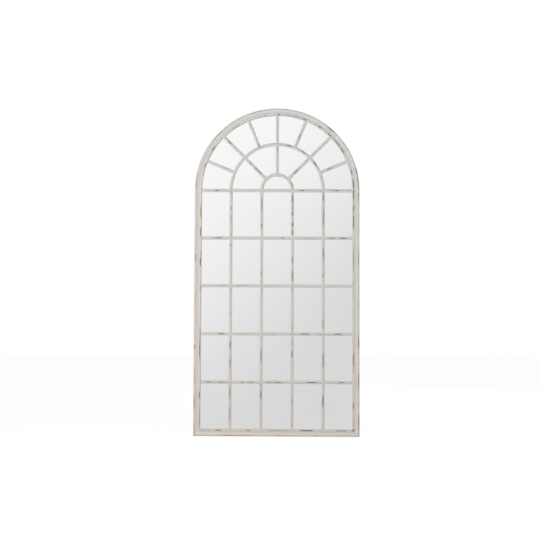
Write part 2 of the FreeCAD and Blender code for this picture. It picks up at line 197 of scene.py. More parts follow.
def distressed_paint():
    """Brushed chalky off-white over an undercoat over dark wood; bare wood on the back.

    The paint is warmer and a little darker towards the foot and the left: yellowed paint, with
    painted shade for the light that falls off towards the foot. It is darker along the glazed
    arrises, and in the deeper half of the cove, where the darkening is painted shade.
    """
    made, tree = material("distressed off-white paint")
    place = tree.place()
    along = tree.attribute("along")
    across = tree.attribute("across")
    strokes = tree.noise(tree.combine(along * 7, across * 300, 0.0), 1.0, 3.0, 0.55)
    fine = tree.noise(place, 60.0, 2.0)
    patches = tree.noise(place, 3.1, 3.0, 0.55)
    tints = tree.noise(place, 5.3, 2.0, 0.5)
    ragged = tree.noise(tree.combine(along * 130, across * 260, patches * 3), 1.0, 3.0, 0.65)
    rub = (tree.attribute("edge") * tree.attribute("edge_rub")).or_more(
        tree.attribute("lip") * tree.attribute("lip_rub"))
    torn = rub + (ragged - 0.5) * 0.75
    thin = torn.between(0.14, 0.42)
    bare = torn.between(0.5, 0.72)
    speck = tree.noise(place, 95.0, 2.0, 0.7).between(0.735, 0.775)

    spot = tree.node("ShaderNodeSeparateXYZ", None, {0: place})
    # warmer and a little darker towards the foot and the left: yellowed paint, with painted shade for the
    # light that falls off towards the foot
    yellowing_and_foot_shade = 0.87 - spot.of("X") * 0.55 - spot.of("Z") * 0.47 + (patches - 0.5) * 0.3
    paint = tree.blend(patches.between(0.36, 0.64), (0.672, 0.668, 0.652), (0.704, 0.702, 0.694))
    paint = tree.blend(yellowing_and_foot_shade, paint, (0.682, 0.637, 0.578))
    paint = tree.blend(tints.between(0.56, 0.74) * 0.20, paint, (0.690, 0.600, 0.560))
    paint = tree.blend((1 - tints).between(0.58, 0.74) * 0.24, paint, (0.585, 0.590, 0.515))
    paint = tree.blend(strokes.between(0.3, 0.75) * 0.12, paint, (0.52, 0.49, 0.44))
    # painted shade in the deeper half of the cove, near the lip; along the arrises the same dark colour is
    # glazing
    painted_cove_shade = across.between(0.013, 0.024) * (1 - across.between(0.026, 0.030))
    arris_glaze_and_cove_shade = tree.attribute("edge").or_more(tree.attribute("lip") * 0.65).or_more(painted_cove_shade * 1.15)
    arris_glaze_and_cove_shade = arris_glaze_and_cove_shade * (0.15 + patches * 0.15)
    paint = tree.blend(arris_glaze_and_cove_shade, paint, (0.360, 0.335, 0.295))
    hue = tree.noise(place, 17.0, 1.0)
    under = tree.blend(hue.between(0.45, 0.62), (0.300, 0.280, 0.240), (0.400, 0.270, 0.230))
    coat = tree.blend(thin * 0.62, paint, under)
    coat = tree.blend(speck * 0.35, coat, under)
    grain = tree.noise(tree.combine(along * 22, across * 900, 1.0), 1.0, 3.0)
    wood = tree.blend(grain, (0.060, 0.046, 0.038), (0.145, 0.108, 0.086))
    coat = tree.blend(bare * 0.92, coat, wood)

    back = (tree.attribute("back") + (ragged - 0.5) * 0.35).between(0.42, 0.6)
    rings = tree.noise(tree.combine(along * 3, across * 240, 2.0), 1.0, 4.0, 0.6)
    pine = tree.blend(rings.between(0.3, 0.7), (0.560, 0.420, 0.270), (0.420, 0.290, 0.170))
    colour = tree.blend(back, coat, pine)

    rough = 0.52 + strokes * 0.16 + bare * 0.22
    height = strokes * 0.45 + fine * 0.4 + grain * bare * 0.3 - bare * 1.2 - thin * 0.5
    surface(tree, base_color=colour, roughness=rough, ior=1.45,
            specular_ior_level=0.35, normal=bump(tree, height, 0.00008, 0.45))
    return made


def with_sockets(group, result, inputs):
    """Gives a geometry node group its inputs and its result; returns its tree and what it is given."""
    for name, kind in inputs.items():
        group.interface.new_socket(name, in_out="INPUT", socket_type=f"NodeSocket{kind}")
    group.interface.new_socket(result, in_out="OUTPUT", socket_type="NodeSocketGeometry")
    tree = Tree(group)
    return tree, tree.node("NodeGroupInput")


def moulding_run_tree():
    """Geometry nodes: sweeps a section along a path, softens it, and stands it upright."""
    group = bpy.data.node_groups.new("moulding run", "GeometryNodeTree")
    tree, given = with_sockets(group, "Run", {
        "Path": "Geometry", "Section": "Object", "Rub Depth": "Float", "Dent Depth": "Float",
        "Dent Length": "Float", "Seed": "Float", "Finish": "Material"})

    def named(name, kind="FLOAT"):
        return tree.node("GeometryNodeInputNamedAttribute", {"data_type": kind}, {"Name": name})

    path = tree.node("GeometryNodeMeshToCurve", None, {"Mesh": given})
    path = tree.node("GeometryNodeSetCurveNormal", {"mode": "Z_UP"}, {"Curve": path})
    heading = tree.node("GeometryNodeInputTangent")
    path = tree.node("GeometryNodeStoreNamedAttribute", {"data_type": "FLOAT_VECTOR", "domain": "POINT"},
                     {"Geometry": path, "Name": "heading", "Value": heading})
    section = tree.node("GeometryNodeObjectInfo", None, {"Object": given.of("Section")}, out="Geometry")
    section = tree.node("GeometryNodeMeshToCurve", None, {"Mesh": section})
    run = tree.node("GeometryNodeCurveToMesh", None,
                    {"Curve": path, "Profile Curve": section, "Fill Caps": True})
    shift = tree.node("ShaderNodeVectorMath", {"operation": "SCALE"},
                      {0: named("heading", "FLOAT_VECTOR"), "Scale": named("mitre") * named("across")})
    run = tree.node("GeometryNodeSetPosition", None, {"Geometry": run, "Offset": shift})
    dents = tree.node("ShaderNodeTexNoise", {"noise_dimensions": "4D"},
                      {"W": given.of("Seed"), "Scale": 1 / given.of("Dent Length"), "Detail": 2.0})
    rub = (named("edge") * named("edge_rub")).or_more(named("lip") * named("lip_rub"))
    sink = 0 - rub * given.of("Rub Depth") - dents * given.of("Dent Depth")
    inward = tree.node("ShaderNodeVectorMath", {"operation": "SCALE"},
                       {0: tree.node("GeometryNodeInputNormal"), "Scale": sink})
    run = tree.node("GeometryNodeSetPosition", None, {"Geometry": run, "Offset": inward})
    run = tree.node("GeometryNodeTransform", None, {"Geometry": run, "Rotation": (math.pi / 2, 0, 0)})
    run = tree.node("GeometryNodeSetShadeSmooth", None, {"Geometry": run, "Shade Smooth": True})
    sharp = tree.node("FunctionNodeCompare", {"operation": "GREATER_THAN"},
                      {0: tree.node("GeometryNodeInputMeshEdgeAngle"), 1: SHARP_ANGLE})
    run = tree.node("GeometryNodeSetShadeSmooth", {"domain": "EDGE"},
                    {"Geometry": run, "Selection": sharp, "Shade Smooth": False})
    run = tree.node("GeometryNodeRealizeInstances", None, {"Geometry": run})
    run = tree.node("GeometryNodeSetMaterial", None, {"Geometry": run, "Material": given.of("Finish")})
    tree.node("NodeGroupOutput", None, {"Run": run})
    return group


def linked(name, data):
    """A new object in the scene, with its mesh, lamp or camera."""
    made = bpy.data.objects.new(name, data)
    bpy.context.scene.collection.objects.link(made)
    return made


def line_mesh(name, corners, closed, **attributes):
    """A mesh of edges only, with a value for each corner under each attribute's name."""
    count = len(corners)
    edges = [(k, k + 1) for k in range(count - 1)] + ([(count - 1, 0)] if closed else [])
    mesh = bpy.data.meshes.new(name)
    mesh.from_pydata([(*corner, 0) for corner in corners], edges, [])
    for key, values in attributes.items():
        mesh.attributes.new(key, "FLOAT", "POINT").data.foreach_set("value", values)
    return linked(name, mesh)


def with_inputs(piece, group, values):
    """A geometry nodes modifier on the piece, its inputs set by identifier."""
    modifier = piece.modifiers.new(group.name, "NODES")
    modifier.node_group = group
    for item in group.interface.items_tree:
        if item.in_out == "INPUT" and item.name in values:
            modifier[item.identifier] = values[item.name]


def settled(piece):
    """The piece's evaluated modifiers as its own plain mesh, with its faces outwards."""
    bpy.context.view_layer.update()
    graph = bpy.context.evaluated_depsgraph_get()
    seen = piece.evaluated_get(graph)
    mesh = bpy.data.meshes.new_from_object(seen, preserve_all_data_layers=True, depsgraph=graph)
    piece.modifiers.clear()
    piece.data = mesh
    shell = bmesh.new()
    shell.from_mesh(mesh)
    bmesh.ops.recalc_face_normals(shell, faces=shell.faces)
    shell.to_mesh(mesh)
    shell.free()


def near_mark(places, marks):
    """How far rubbed through the arris is at each place, from marks (x, z, half length, depth).

    A mark is full over its middle and fades out a little past its ends.
    """
    rubbed = np.zeros(len(places))
    for x, z, half, depth in marks:
        away = np.hypot(places[:, 0] - x, places[:, 1] - z) / half
        rubbed = np.maximum(rubbed, depth * np.clip(1.6 - 1.2 * away, 0, 1))
    return rubbed


def chance_rubs(distance, seed, per_metre, longest, deepest):
    """Short rubbed dashes strewn along an arris, full in the middle and fading to their ends."""
    draw = random.Random(seed)
    rubbed = np.zeros(len(distance))
    for _ in range(round(per_metre * distance[-1])):
        middle = draw.uniform(0, distance[-1])
        half = draw.uniform(0.25, 1.0) * longest / 2
        depth = draw.uniform(0.3, 1.0) * deepest
        rubbed = np.maximum(rubbed, depth * np.clip(1.5 - np.abs(distance - middle) / half, 0, 1))
    return rubbed


def spaced(start, end):
    """Points from start to end, a path step apart."""
    count = max(2, round(math.dist(start, end) / PATH_STEP) + 1)
    return np.linspace(start, end, count)


def ring_points(radius, first, last, step):
    """Points round the centre of the head, from one angle to another, in degrees."""
    first, last = math.radians(first), math.radians(last)
    turn = np.linspace(first, last, round(abs(last - first) / step) + 1)
    return np.c_[radius * np.cos(turn), SPRING_HEIGHT + radius * np.sin(turn)]


def arc(centre, radius, first, last, count):
    """Points of a round stretch of a section."""
    turn = np.radians(np.linspace(first, last, count))
    return [(centre[0] + radius * math.cos(t), centre[1] + radius * math.sin(t)) for t in turn]


def hump(value, middle, half):
    """1 at the middle, falling to 0 at half on either side."""
    return np.clip(1.35 * (1 - np.abs(np.asarray(value) - middle) / half), 0, 1)


def moulding_section():
    """The section as (inwards from the outer edge, y), with which part wears and which is the back."""
    side_end = OUTER_ROUND + QUIRK
    points = []
    for k in range(SIDE_PARTS - 1, 0, -1):
        share = k / SIDE_PARTS
        points.append((0, FRAME_DEPTH * share + side_end * (1 - share)))
    points += arc((OUTER_ROUND, side_end), OUTER_ROUND, 180, 270, 7)
    points += [(inwards * MM, depth * MM) for inwards, depth in CREST_LINE]
    chord = COVE_END - CREST_END
    rise = LIP_DROP - COVE_START_DROP
    sag = COVE_FLOOR - (COVE_START_DROP + LIP_DROP) / 2
    for k in range(1, COVE_PARTS):
        share = k / COVE_PARTS
        depth = COVE_START_DROP + share * rise + 4 * sag * share * (1 - share)
        points.append((CREST_END + share * chord, depth))
    points += [(COVE_END, LIP_DROP + 0.12 * MM), (COVE_END + 0.6 * MM, LIP_DROP)]
    points += arc((FACE_WIDTH - LIP_ROUND, LIP_DROP + LIP_ROUND), LIP_ROUND, 270, 360, 8)
    glass = GLASS_Y - FRONT_Y
    board = BOARD_BOX[0].y - FRONT_Y
    glass_edge = FACE_WIDTH - GLASS_REBATE
    board_edge = glass_edge - BOARD_REBATE
    points += [(FACE_WIDTH, glass), (glass_edge, glass), (glass_edge, board), (board_edge, board)]
    points += [(board_edge, FRAME_DEPTH - BACK_SOFT), (board_edge - BACK_SOFT, FRAME_DEPTH)]
    points += [(board_edge / 2, FRAME_DEPTH), (BACK_SOFT, FRAME_DEPTH), (0, FRAME_DEPTH - BACK_SOFT)]
    across = [w for w, depth in points]
    front = [depth < glass - 1 * MM for w, depth in points]
    edge = hump(across, EDGE_LINE, EDGE_RUB_HALF) * front
    lip = hump(across, LIP_LINE, LIP_RUB_HALF) * front
    back = [max(0.0, (depth - glass) / (FRAME_DEPTH - glass)) for w, depth in points]
    places = [(w, FRONT_Y + depth) for w, depth in points]
    return line_mesh("moulding section", places, True, across=across, edge=edge, lip=lip, back=back)


PAINT = distressed_paint()
RUN = moulding_run_tree()
MOULDING = moulding_section()

LIP_MARKS = [  # x, z, half length, depth
    (-0.353, 1.570, 0.017, 1.1), (-0.397, 1.476, 0.015, 0.8), (-0.074, 1.759, 0.012, 0.7),
    (0.008, 1.765, 0.014, 1.0), (0.058, 1.757, 0.010, 0.7), (0.151, 1.732, 0.014, 0.9),
    (0.234, 1.688, 0.010, 1.1), (0.289, 1.644, 0.016, 0.9), (0.335, 1.605, 0.030, 1.0),
    (0.360, 1.560, 0.022, 1.1), (0.409, 1.440, 0.020, 0.8), (0.416, 1.375, 0.026, 1.1),
    (0.416, 1.315, 0.030, 1.0), (0.417, 1.240, 0.020, 0.9), (0.417, 0.414, 0.045, 0.8),
    (0.416, 0.166, 0.022, 0.9), (0.417, 0.035, 0.008, 1.5), (-0.418, 0.464, 0.060, 0.75),
    (-0.420, 0.221, 0.022, 0.8), (-0.420, 0.100, 0.060, 0.6), (0.163, 0.032, 0.034, 1.5),
    (0.339, 0.032, 0.020, 0.7), (-0.315, 0.034, 0.018, 0.9), (-0.152, 0.033, 0.016, 0.7),
    (0.010, 0.034, 0.060, 0.5), (-0.418, 1.215, 0.030, 0.9), (-0.418, 1.110, 0.028, 0.9),
    (-0.419, 0.945, 0.024, 1.2), (0.417, 1.165, 0.040, 1.0), (0.417, 0.960, 0.090, 0.6),
]
EDGE_MARKS = [
    (-0.446, 0.480, 0.014, 0.9), (0.440, 0.500, 0.030, 0.8), (0.441, 0.300, 0.050, 0.7),
    (0.300, 1.680, 0.030, 0.9), (0.438, 1.440, 0.030, 0.7), (-0.330, 1.650, 0.040, 0.6),
]


def distance_along(path):
    """How far each point of the path lies from its start."""
    return np.r_[0, np.cumsum(np.hypot(*np.diff(path, axis=0).T))]


def painted_run(node, path, section, seed, mitre, edge_rub, lip_rub):
    """A painted length of a section along a path, which stands for its node."""
    piece = line_mesh(f"{node}_run", path, False, along=distance_along(path) + seed, mitre=mitre,
                      edge_rub=edge_rub, lip_rub=lip_rub)
    with_inputs(piece, RUN, {"Section": section, "Rub Depth": RUB_DEPTH, "Dent Depth": DENT_DEPTH,
                             "Dent Length": DENT_LENGTH, "Seed": float(seed), "Finish": PAINT})
    settled(piece)
    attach(piece, "frame")
    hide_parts(node)


def moulding(node, path, mitres, seed):
    """One length of the frame; mitres says whether its start and its end are mitred."""
    path = np.asarray(path)
    distance = distance_along(path)
    share = distance / distance[-1]
    heading = np.gradient(path, axis=0)
    heading /= np.hypot(*heading.T)[:, None]
    inwards = np.c_[heading[:, 1], -heading[:, 0]]
    mitre = mitres[0] * (1 - share) - mitres[1] * share
    slant = inwards + heading * mitre[:, None]
    edge_dashes = chance_rubs(distance, seed, per_metre=9, longest=0.11, deepest=0.72)
    edge_marks = near_mark(path + slant * EDGE_LINE, EDGE_MARKS)
    lip_dashes = chance_rubs(distance, seed + 50, per_metre=7, longest=0.07, deepest=0.62)
    lip_marks = near_mark(path + slant * LIP_LINE, LIP_MARKS)
    edge_rub = np.maximum(np.maximum(edge_dashes, edge_marks), EDGE_WEAR)
    lip_rub = np.maximum(np.maximum(lip_dashes, lip_marks), LIP_WEAR)
    painted_run(node, path, MOULDING, seed, mitre, edge_rub, lip_rub)


foot_left, foot_right = (-HALF_WIDTH, 0), (HALF_WIDTH, 0)
head_left, head_right = (-HALF_WIDTH, SPRING_HEIGHT), (HALF_WIDTH, SPRING_HEIGHT)
moulding("left_stile", spaced(foot_left, head_left), (1, 0), 1)
moulding("arch_segment_3", ring_points(HALF_WIDTH, 180, 120, ARCH_STEP / 2), (0, 0), 2)
moulding("arch_segment_2", ring_points(HALF_WIDTH, 120, 60, ARCH_STEP / 2), (0, 0), 3)
moulding("arch_segment_1", ring_points(HALF_WIDTH, 60, 0, ARCH_STEP / 2), (0, 0), 4)
moulding("right_stile", spaced(head_right, foot_right), (0, 1), 5)
moulding("bottom_rail", spaced(foot_right, foot_left), (1, 1), 6)


# ---- Glazing bars ----
# One small wooden bar section, painted as the frame: a spring bar and four cross bars that run
# through, four uprights, two half-rings and seven bars of the fan. They lie on the glass, are
# half-lapped where they cross and stub-tenoned at their ends.

BAR_HALF = (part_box("upright_bar_1")[1].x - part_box("upright_bar_1")[0].x) / 2
BAR_SIDE = 3.5 * MM           # the upright part of a bar's side
BAR_SOFT = 0.5 * MM           # the arris above it is eased by this much
CREST_ROUND = 3.5 * MM
SIGHT_RADIUS = HALF_WIDTH - FACE_WIDTH
BAR_REACH = 6 * MM            # how far a bar's end lies inside what it meets
BAR_WEAR = 0.06               # the least wear all along a bar's crest
CREST_RUB_HALF = 3.4 * MM     # half the width of what is rubbed along the crest and the sides
SIDE_RUB_HALF = 2.2 * MM
FAN_STEP = 22.5               # degrees between the bars of the fan


def bar_section(name, height):
    """The section as (sideways, y): upright sides, slopes and a round crest."""
    middle = height - CREST_ROUND
    rise = middle - BAR_SIDE
    slope = math.atan2(rise, -BAR_HALF) - math.asin(CREST_ROUND / math.hypot(BAR_HALF, rise))
    lean = math.degrees(slope) - 90
    crest = arc((0, middle), CREST_ROUND, lean, 180 - lean, 9)
    shoulder = crest[0]
    half = [(BAR_HALF, 0), (BAR_HALF, BAR_SIDE - BAR_SOFT), (BAR_HALF - BAR_SOFT, BAR_SIDE + BAR_SOFT / 2)]
    for k in (1, 2, 3):
        share = k / 4
        half.append((BAR_HALF + (shoulder[0] - BAR_HALF) * share,
                     BAR_SIDE + (shoulder[1] - BAR_SIDE) * share))
    points = [(-u, h) for u, h in half] + crest[::-1] + half[::-1]
    sideways = [u for u, h in points]
    edge = hump(sideways, 0, CREST_RUB_HALF)
    lip = np.maximum(hump(sideways, BAR_HALF, SIDE_RUB_HALF), hump(sideways, -BAR_HALF, SIDE_RUB_HALF))
    places = [(u, GLASS_Y - h) for u, h in points]
    return line_mesh(name, places, True, across=sideways, edge=edge, lip=lip, back=[0.0] * len(points))


BAR_MARKS = [  # x, z, half length, depth
    (-0.262, 1.602, 0.014, 1.1), (-0.150, 1.483, 0.014, 0.8), (-0.106, 1.444, 0.030, 0.9),
    (-0.251, 0.492, 0.024, 1.0), (-0.251, 0.394, 0.026, 0.9), (-0.253, 0.235, 0.040, 0.7),
    (-0.253, 0.120, 0.045, 0.7), (-0.084, 0.225, 0.024, 1.4), (-0.085, 0.433, 0.040, 0.9),
    (0.084, 0.445, 0.022, 0.9), (0.084, 0.186, 0.024, 0.6), (0.252, 0.413, 0.045, 0.9),
    (0.252, 0.192, 0.032, 1.4), (0.250, 1.300, 0.022, 1.0), (0.084, 1.290, 0.022, 1.0),
    (-0.330, 1.338, 0.012, 1.0), (0.136, 1.338, 0.014, 1.0), (0.064, 1.582, 0.015, 1.1),
    (0.141, 1.549, 0.016, 0.8), (0.207, 1.489, 0.016, 1.1), (0.119, 1.632, 0.018, 0.9),
    (0.283, 1.461, 0.018, 0.8), (0.095, 1.444, 0.022, 1.0), (-0.368, 0.292, 0.014, 0.9),
    (-0.300, 0.292, 0.020, 0.7), (-0.184, 0.292, 0.010, 0.8), (-0.135, 0.292, 0.014, 0.8),
    (0.010, 0.292, 0.024, 0.8), (0.190, 0.292, 0.030, 1.1), (0.352, 0.292, 0.018, 0.9),
    (-0.300, 0.553, 0.014, 1.1), (0.154, 0.553, 0.026, 1.0), (0.240, 0.553, 0.016, 0.7),
    (0.333, 0.553, 0.022, 0.9), (-0.084, 1.260, 0.040, 0.8), (-0.100, 1.585, 0.016, 0.7),
    (-0.252, 1.240, 0.012, 0.9), (-0.252, 1.180, 0.025, 0.6), (-0.254, 1.037, 0.008, 0.8),
    (-0.085, 1.143, 0.012, 1.0), (0.084, 1.209, 0.010, 1.0), (0.084, 1.150, 0.012, 1.4),
    (0.084, 1.108, 0.016, 0.9), (0.084, 0.955, 0.020, 0.8), (0.084, 0.870, 0.030, 0.9),
    (0.252, 1.190, 0.055, 0.8), (0.252, 0.990, 0.030, 0.9), (0.252, 0.872, 0.014, 0.9),
    (0.330, 1.338, 0.008, 0.8), (-0.318, 1.077, 0.020, 1.1), (0.030, 1.077, 0.010, 0.8),
    (0.300, 1.077, 0.018, 0.8), (0.362, 1.077, 0.022, 1.1),
]


def bar(node, path, section, seed):
    """One glazing bar along its middle line."""
    path = np.asarray(path)
    distance = distance_along(path)
    edge_dashes = chance_rubs(distance, seed, per_metre=6, longest=0.06, deepest=0.66)
    edge_rub = np.maximum(np.maximum(edge_dashes, near_mark(path, BAR_MARKS)), BAR_WEAR)
    lip_rub = chance_rubs(distance, seed + 50, per_metre=7, longest=0.05, deepest=0.5)
    painted_run(node, path, section, seed, np.zeros(len(path)), edge_rub, lip_rub)


def crest_height(node):
    """How far a bar's crest stands in front of the glass."""
    return GLASS_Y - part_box(node)[0].y


def middle_of(node, axis):
    """The middle of a node's box along X (0) or Z (2)."""
    low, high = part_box(node)
    return (low[axis] + high[axis]) / 2


CROSS_SECTION = bar_section("cross bar section", crest_height("spring_bar"))
RING_SECTION = bar_section("ring section", crest_height("middle_arch"))
FAN_SECTION = bar_section("fan bar section", crest_height("upright_bar_1"))
sight = SIGHT_RADIUS + BAR_REACH
spring_z = middle_of("spring_bar", 2)
for k, node in enumerate(["cross_bar_1", "cross_bar_2", "cross_bar_3", "cross_bar_4", "spring_bar"]):
    height = middle_of(node, 2)
    bar(node, spaced((-sight, height), (sight, height)), CROSS_SECTION, 11 + k)
for k in range(4):
    node = f"upright_bar_{k + 1}"
    x = middle_of(node, 0)
    bar(node, spaced((x, FACE_WIDTH - BAR_REACH), (x, spring_z)), FAN_SECTION, 21 + k)
ring_radius = {}
for k, node in enumerate(["middle_arch", "inner_arch"]):
    ring_radius[node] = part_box(node)[1].x - BAR_HALF
    half_ring = ring_points(ring_radius[node], 180, 0, ARCH_STEP * (1 + k))
    foot = (0, spring_z - SPRING_HEIGHT)
    bar(node, np.vstack([half_ring[:1] + foot, half_ring, half_ring[-1:] + foot]), RING_SECTION, 31 + k)
centre = Vector((0, SPRING_HEIGHT))
for k in range(1, 8):
    angle = math.radians(FAN_STEP * k)
    node = f"{'short' if k % 2 else 'long'}_fan_bar_{(k + 1) // 2}"
    inner = ring_radius["middle_arch" if k % 2 else "inner_arch"]
    ray = Vector((math.cos(angle), math.sin(angle)))
    bar(node, spaced(centre + ray * inner, centre + ray * sight), FAN_SECTION, 40 + k)
for section in (MOULDING, CROSS_SECTION, RING_SECTION, FAN_SECTION):
    bpy.data.objects.remove(section)


# ---- Dowels ----
# Twelve turned beech pins, glued two by two into holes across the mitres and the joints of the
# head. They stay inside the wood.

dowel_wood, tree = material("beech")
place = tree.place()
grain = tree.noise(place, 180.0, 3.0)
colour = tree.blend(grain, (0.62, 0.43, 0.27), (0.50, 0.32, 0.19))
surface(tree, base_color=colour, roughness=0.6 + grain * 0.15)


def finish_node(node, finish):
    """Gives a node its material; its mesh stays as it is."""
    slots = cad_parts[node].data.materials
    slots.clear()
    slots.append(finish)


finish_node("frame_dowels", dowel_wood)


# ---- Mirror glass ----
# One arched sheet of silvered float glass behind all the bars, laid into its rebate from the
# back. Its face is clean but for a faint haze.

silvered, tree = material("silvered glass")
place = tree.place()
haze = tree.noise(place, 2.2, 3.0, 0.6)
streaks = tree.noise(place, 38.0, 3.0, 0.6)
tone = tree.blend(haze.between(0.3, 0.7), (0.924, 0.926, 0.926), (0.934, 0.936, 0.936))
surface(tree, base_color=tone, metallic=1.0, roughness=0.012 + haze * 0.012 + streaks * 0.006)
finish_node("mirror_glass", silvered)


# ---- Foam pads ----
# Twelve strips of grey closed-cell foam, stuck to the inside of the board. They press the glass
# forwards into its rebate.

foam, tree = material("grey foam")
place = tree.place()
cells = tree.node("ShaderNodeTexVoronoi", None, {"Vector": place, "Scale": 900.0})
colour = tree.blend(cells.between(0.0, 0.6), (0.17, 0.17, 0.18), (0.26, 0.26, 0.27))
surface(tree, base_color=colour, roughness=0.95, normal=bump(tree, cells, 0.0006))
finish_node("foam_pads", foam)


# ---- Backing board ----
# One arched sheet of brown hardboard, screwed into its own rebate behind the glass, with the
# rough screen-marked face outwards.

board_face, tree = material("hardboard")
place = tree.place()
clouds = tree.noise(place, 4.0, 4.0, 0.6)
fibres = tree.noise(place, 260.0, 3.0, 0.7)
flecks = tree.noise(place, 120.0, 2.0, 0.6).between(0.6, 0.72)
weave = {"Vector": place, "Scale": 95.0}
weave_x = tree.node("ShaderNodeTexWave", {"bands_direction": "X"}, weave, "Fac")
weave_z = tree.node("ShaderNodeTexWave", {"bands_direction": "Z"}, weave, "Fac")
screen = weave_x * weave_z    # the marks of the press's wire screen
colour = tree.blend(clouds.between(0.3, 0.7), (0.245, 0.150, 0.085), (0.325, 0.210, 0.125))
colour = tree.blend(fibres.between(0.35, 0.75) * 0.35, colour, (0.160, 0.095, 0.055))
colour = tree.blend(flecks * 0.5, colour, (0.420, 0.300, 0.190))
colour = tree.blend(screen * 0.3, colour, (0.15, 0.09, 0.05))
surface(tree, base_color=colour, roughness=0.78 + fibres * 0.15,
        normal=bump(tree, fibres * 0.6 + screen * 0.5, 0.0005, 0.6))
finish_node("backing_board", board_face)


# ---- Screws ----
# Zinc-plated countersunk screws with a cross recess: twenty-three hold the board down and two
# each hanger strap. Each is driven to its own turn.

SCREW_RADIUS = 1.75 * MM
HEAD_RADIUS = 3.5 * MM
HEAD_HEIGHT = 1.9 * MM
SCREW_LENGTH = 13.8 * MM
POINT_LENGTH = 3 * MM
POINT_SHARE = 0.1             # the point's end, as a share of the screw's radius
RIM = 0.18 * MM
RECESS_HALF = 1.75 * MM
RECESS_ARM = 0.48 * MM        # half the width of the cross's arms
RECESS_DEPTH = 1.25 * MM
RECESS_TAPER = 0.62
SCREW_SIDES = 24
FIRST_SCREW = 0.100           # the end screws of a stile lie this far from its two ends
STILE_SCREWS = 6
RAIL_SCREWS = 4
HEAD_SCREWS = 7
TURN_SEED = 7

zinc, tree = material("zinc-plated steel")
place = tree.place()
dull = tree.noise(place, 700.0, 3.0, 0.6)
colour = tree.blend(dull.between(0.3, 0.7), (0.50, 0.50, 0.48), (0.66, 0.66, 0.63))
surface(tree, base_color=colour, metallic=1.0, roughness=0.28 + dull * 0.22,
        normal=bump(tree, dull, 0.00008, 0.4))


def turned_rings(shell, profile, sides, smooth):
    """Adds a turned wall round Y to the shell, from a profile of (radius, y)."""
    turns = [2 * math.pi * k / sides for k in range(sides)]
    rings = []
    for radius, y in profile:
        rings.append([shell.verts.new((radius * math.cos(t), y, radius * math.sin(t))) for t in turns])
    for near, far in zip(rings, rings[1:]):
        for k in range(sides):
            shell.faces.new((near[k], near[k - 1], far[k - 1], far[k])).smooth = smooth
    return rings


def model_from(shell, name):
    """The closed shell as an object that copies are made of."""
    bmesh.ops.recalc_face_normals(shell, faces=shell.faces)
    mesh = bpy.data.meshes.new(name)
    shell.to_mesh(mesh)
    shell.free()
    return linked(name, mesh)


def screw_model():
    """One screw, its head's face at y = 0 and its point towards -Y."""
    shell = bmesh.new()
    profile = [(HEAD_RADIUS - RIM, 0), (HEAD_RADIUS, -RIM), (SCREW_RADIUS, -HEAD_HEIGHT),
               (SCREW_RADIUS, POINT_LENGTH - SCREW_LENGTH), (SCREW_RADIUS * POINT_SHARE, -SCREW_LENGTH)]
    rings = turned_rings(shell, profile, SCREW_SIDES, False)
    shell.faces.new(rings[-1])
    cross = []
    for k in range(4):
        turn = math.pi / 2 * k
        for u, v in ((RECESS_ARM, RECESS_ARM), (RECESS_HALF, RECESS_ARM), (RECESS_HALF, -RECESS_ARM)):
            cross.append((u * math.cos(turn) + v * math.sin(turn), v * math.cos(turn) - u * math.sin(turn)))
    top = [shell.verts.new((x, 0, z)) for x, z in cross]
    deep = [shell.verts.new((x * RECESS_TAPER, -RECESS_DEPTH, z * RECESS_TAPER)) for x, z in cross]
    for k in range(len(cross)):
        shell.faces.new((top[k], top[k - 1], deep[k - 1], deep[k]))
    shell.faces.new(deep)
    bmesh.ops.bridge_loops(shell, edges=[edge for edge in shell.edges if edge.is_boundary])
    return model_from(shell, "screw model")


def repeat_tree():
    """Geometry nodes: one model on every point, turned about Y by chance."""
    group = bpy.data.node_groups.new("one on every place", "GeometryNodeTree")
    tree, given = with_sockets(group, "Copies", {
        "Places": "Geometry", "Model": "Object", "Most Turn": "Float", "Seed": "Int", "Finish": "Material"})
    model = tree.node("GeometryNodeObjectInfo", None, {"Object": given.of("Model")}, out="Geometry")
    chance = tree.node("FunctionNodeRandomValue", {"data_type": "FLOAT"},
                       {"Seed": given.of("Seed"), "Max": given.of("Most Turn")}, out=1)
    turn = tree.combine(0.0, chance, 0.0)
    copies = tree.node("GeometryNodeInstanceOnPoints", None,
                       {"Points": given, "Instance": model, "Rotation": turn})
    copies = tree.node("GeometryNodeRealizeInstances", None, {"Geometry": copies})
    copies = tree.node("GeometryNodeSetMaterial", None, {"Geometry": copies, "Material": given.of("Finish")})
    tree.node("NodeGroupOutput", None, {"Copies": copies})
    return group


REPEAT = repeat_tree()


def repeated(node, places, model, finish, most_turn=0.0):
    """Copies of a model at the places (x, y, z), which stand for a node."""
    mesh = bpy.data.meshes.new(node)
    mesh.from_pydata(places, [], [])
    piece = linked(f"{node}_set", mesh)
    with_inputs(piece, REPEAT, {"Model": model, "Most Turn": most_turn, "Seed": TURN_SEED,
                                "Finish": finish})
    settled(piece)
    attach(piece, "frame")
    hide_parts(node)


